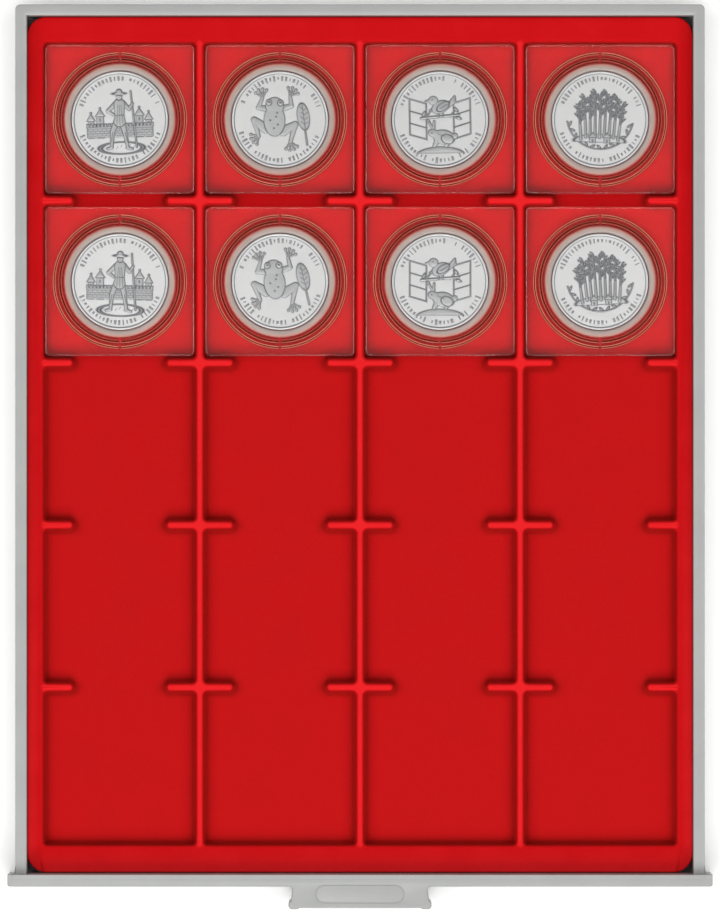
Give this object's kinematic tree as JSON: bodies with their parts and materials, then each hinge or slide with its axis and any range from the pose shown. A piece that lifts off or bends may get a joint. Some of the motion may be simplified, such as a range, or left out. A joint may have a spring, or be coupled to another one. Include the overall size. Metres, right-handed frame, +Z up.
{
  "type": "coin display tray",
  "caption": "Shallow slide-in tray with a pocketed flocked insert that shows coins in square clear capsules, with a hooded finger grip in front.",
  "frame": {"origin": "middle of the footprint, on the surface that the tray stands on", "axes": "+X to the right, +Y from the grip towards the rear, +Z up"},
  "size_m": [0.236, 0.303, 0.02],
  "materials": {
    "tray_plastic": "light grey moulded polystyrene, fine matt texture",
    "flocked_red": "vacuum-formed sheet with bright red flock",
    "clear_acrylic": "clear moulded acrylic, polished",
    "ring_polyethylene": "translucent milky ring",
    "coin_silver": "struck silver, bright field with frosted relief"
  },
  "bodies": {
    "tray": {"tray_frame": "tray_plastic", "front_panel": "tray_plastic"},
    "insert": {"coin_insert": "flocked_red"},
    "capsule_1": {"capsule_base_1": "clear_acrylic", "centring_ring_1": "ring_polyethylene"},
    "lid_1": {"capsule_lid_1": "clear_acrylic"},
    "coin_1": {"coin_1": "coin_silver"},
    "capsule_2": {"capsule_base_2": "clear_acrylic", "centring_ring_2": "ring_polyethylene"},
    "lid_2": {"capsule_lid_2": "clear_acrylic"},
    "coin_2": {"coin_2": "coin_silver"},
    "capsule_3": {"capsule_base_3": "clear_acrylic", "centring_ring_3": "ring_polyethylene"},
    "lid_3": {"capsule_lid_3": "clear_acrylic"},
    "coin_3": {"coin_3": "coin_silver"},
    "capsule_4": {"capsule_base_4": "clear_acrylic", "centring_ring_4": "ring_polyethylene"},
    "lid_4": {"capsule_lid_4": "clear_acrylic"},
    "coin_4": {"coin_4": "coin_silver"},
    "capsule_5": {"capsule_base_5": "clear_acrylic", "centring_ring_5": "ring_polyethylene"},
    "lid_5": {"capsule_lid_5": "clear_acrylic"},
    "coin_5": {"coin_5": "coin_silver"},
    "capsule_6": {"capsule_base_6": "clear_acrylic", "centring_ring_6": "ring_polyethylene"},
    "lid_6": {"capsule_lid_6": "clear_acrylic"},
    "coin_6": {"coin_6": "coin_silver"},
    "capsule_7": {"capsule_base_7": "clear_acrylic", "centring_ring_7": "ring_polyethylene"},
    "lid_7": {"capsule_lid_7": "clear_acrylic"},
    "coin_7": {"coin_7": "coin_silver"},
    "capsule_8": {"capsule_base_8": "clear_acrylic", "centring_ring_8": "ring_polyethylene"},
    "lid_8": {"capsule_lid_8": "clear_acrylic"},
    "coin_8": {"coin_8": "coin_silver"}
  },
  "joints": [
    {"name": "insert_lift", "type": "slide", "parent": "tray", "child": "insert", "axis": [0, 0, 1], "range_m": [0, 0.025]},
    {"name": "capsule_lift_1", "type": "slide", "parent": "insert", "child": "capsule_1", "axis": [0, 0, 1], "range_m": [0, 0.025]},
    {"name": "lid_lift_1", "type": "slide", "parent": "capsule_1", "child": "lid_1", "axis": [0, 0, 1], "range_m": [0, 0.012]},
    {"name": "coin_turn_1", "type": "hinge", "parent": "capsule_1", "child": "coin_1", "pos_m": [-0.0807, 0.11325, 0.0023], "axis": [0, 0, 1], "continuous": true},
    {"name": "capsule_lift_2", "type": "slide", "parent": "insert", "child": "capsule_2", "axis": [0, 0, 1], "range_m": [0, 0.025]},
    {"name": "lid_lift_2", "type": "slide", "parent": "capsule_2", "child": "lid_2", "axis": [0, 0, 1], "range_m": [0, 0.012]},
    {"name": "coin_turn_2", "type": "hinge", "parent": "capsule_2", "child": "coin_2", "pos_m": [-0.0269, 0.11325, 0.0023], "axis": [0, 0, 1], "continuous": true},
    {"name": "capsule_lift_3", "type": "slide", "parent": "insert", "child": "capsule_3", "axis": [0, 0, 1], "range_m": [0, 0.025]},
    {"name": "lid_lift_3", "type": "slide", "parent": "capsule_3", "child": "lid_3", "axis": [0, 0, 1], "range_m": [0, 0.012]},
    {"name": "coin_turn_3", "type": "hinge", "parent": "capsule_3", "child": "coin_3", "pos_m": [0.0269, 0.11325, 0.0023], "axis": [0, 0, 1], "continuous": true},
    {"name": "capsule_lift_4", "type": "slide", "parent": "insert", "child": "capsule_4", "axis": [0, 0, 1], "range_m": [0, 0.025]},
    {"name": "lid_lift_4", "type": "slide", "parent": "capsule_4", "child": "lid_4", "axis": [0, 0, 1], "range_m": [0, 0.012]},
    {"name": "coin_turn_4", "type": "hinge", "parent": "capsule_4", "child": "coin_4", "pos_m": [0.0807, 0.11325, 0.0023], "axis": [0, 0, 1], "continuous": true},
    {"name": "capsule_lift_5", "type": "slide", "parent": "insert", "child": "capsule_5", "axis": [0, 0, 1], "range_m": [0, 0.025]},
    {"name": "lid_lift_5", "type": "slide", "parent": "capsule_5", "child": "lid_5", "axis": [0, 0, 1], "range_m": [0, 0.012]},
    {"name": "coin_turn_5", "type": "hinge", "parent": "capsule_5", "child": "coin_5", "pos_m": [-0.0807, 0.05875, 0.0023], "axis": [0, 0, 1], "continuous": true},
    {"name": "capsule_lift_6", "type": "slide", "parent": "insert", "child": "capsule_6", "axis": [0, 0, 1], "range_m": [0, 0.025]},
    {"name": "lid_lift_6", "type": "slide", "parent": "capsule_6", "child": "lid_6", "axis": [0, 0, 1], "range_m": [0, 0.012]},
    {"name": "coin_turn_6", "type": "hinge", "parent": "capsule_6", "child": "coin_6", "pos_m": [-0.0269, 0.05875, 0.0023], "axis": [0, 0, 1], "continuous": true},
    {"name": "capsule_lift_7", "type": "slide", "parent": "insert", "child": "capsule_7", "axis": [0, 0, 1], "range_m": [0, 0.025]},
    {"name": "lid_lift_7", "type": "slide", "parent": "capsule_7", "child": "lid_7", "axis": [0, 0, 1], "range_m": [0, 0.012]},
    {"name": "coin_turn_7", "type": "hinge", "parent": "capsule_7", "child": "coin_7", "pos_m": [0.0269, 0.05875, 0.0023], "axis": [0, 0, 1], "continuous": true},
    {"name": "capsule_lift_8", "type": "slide", "parent": "insert", "child": "capsule_8", "axis": [0, 0, 1], "range_m": [0, 0.025]},
    {"name": "lid_lift_8", "type": "slide", "parent": "capsule_8", "child": "lid_8", "axis": [0, 0, 1], "range_m": [0, 0.012]},
    {"name": "coin_turn_8", "type": "hinge", "parent": "capsule_8", "child": "coin_8", "pos_m": [0.0807, 0.05875, 0.0023], "axis": [0, 0, 1], "continuous": true}
  ]
}
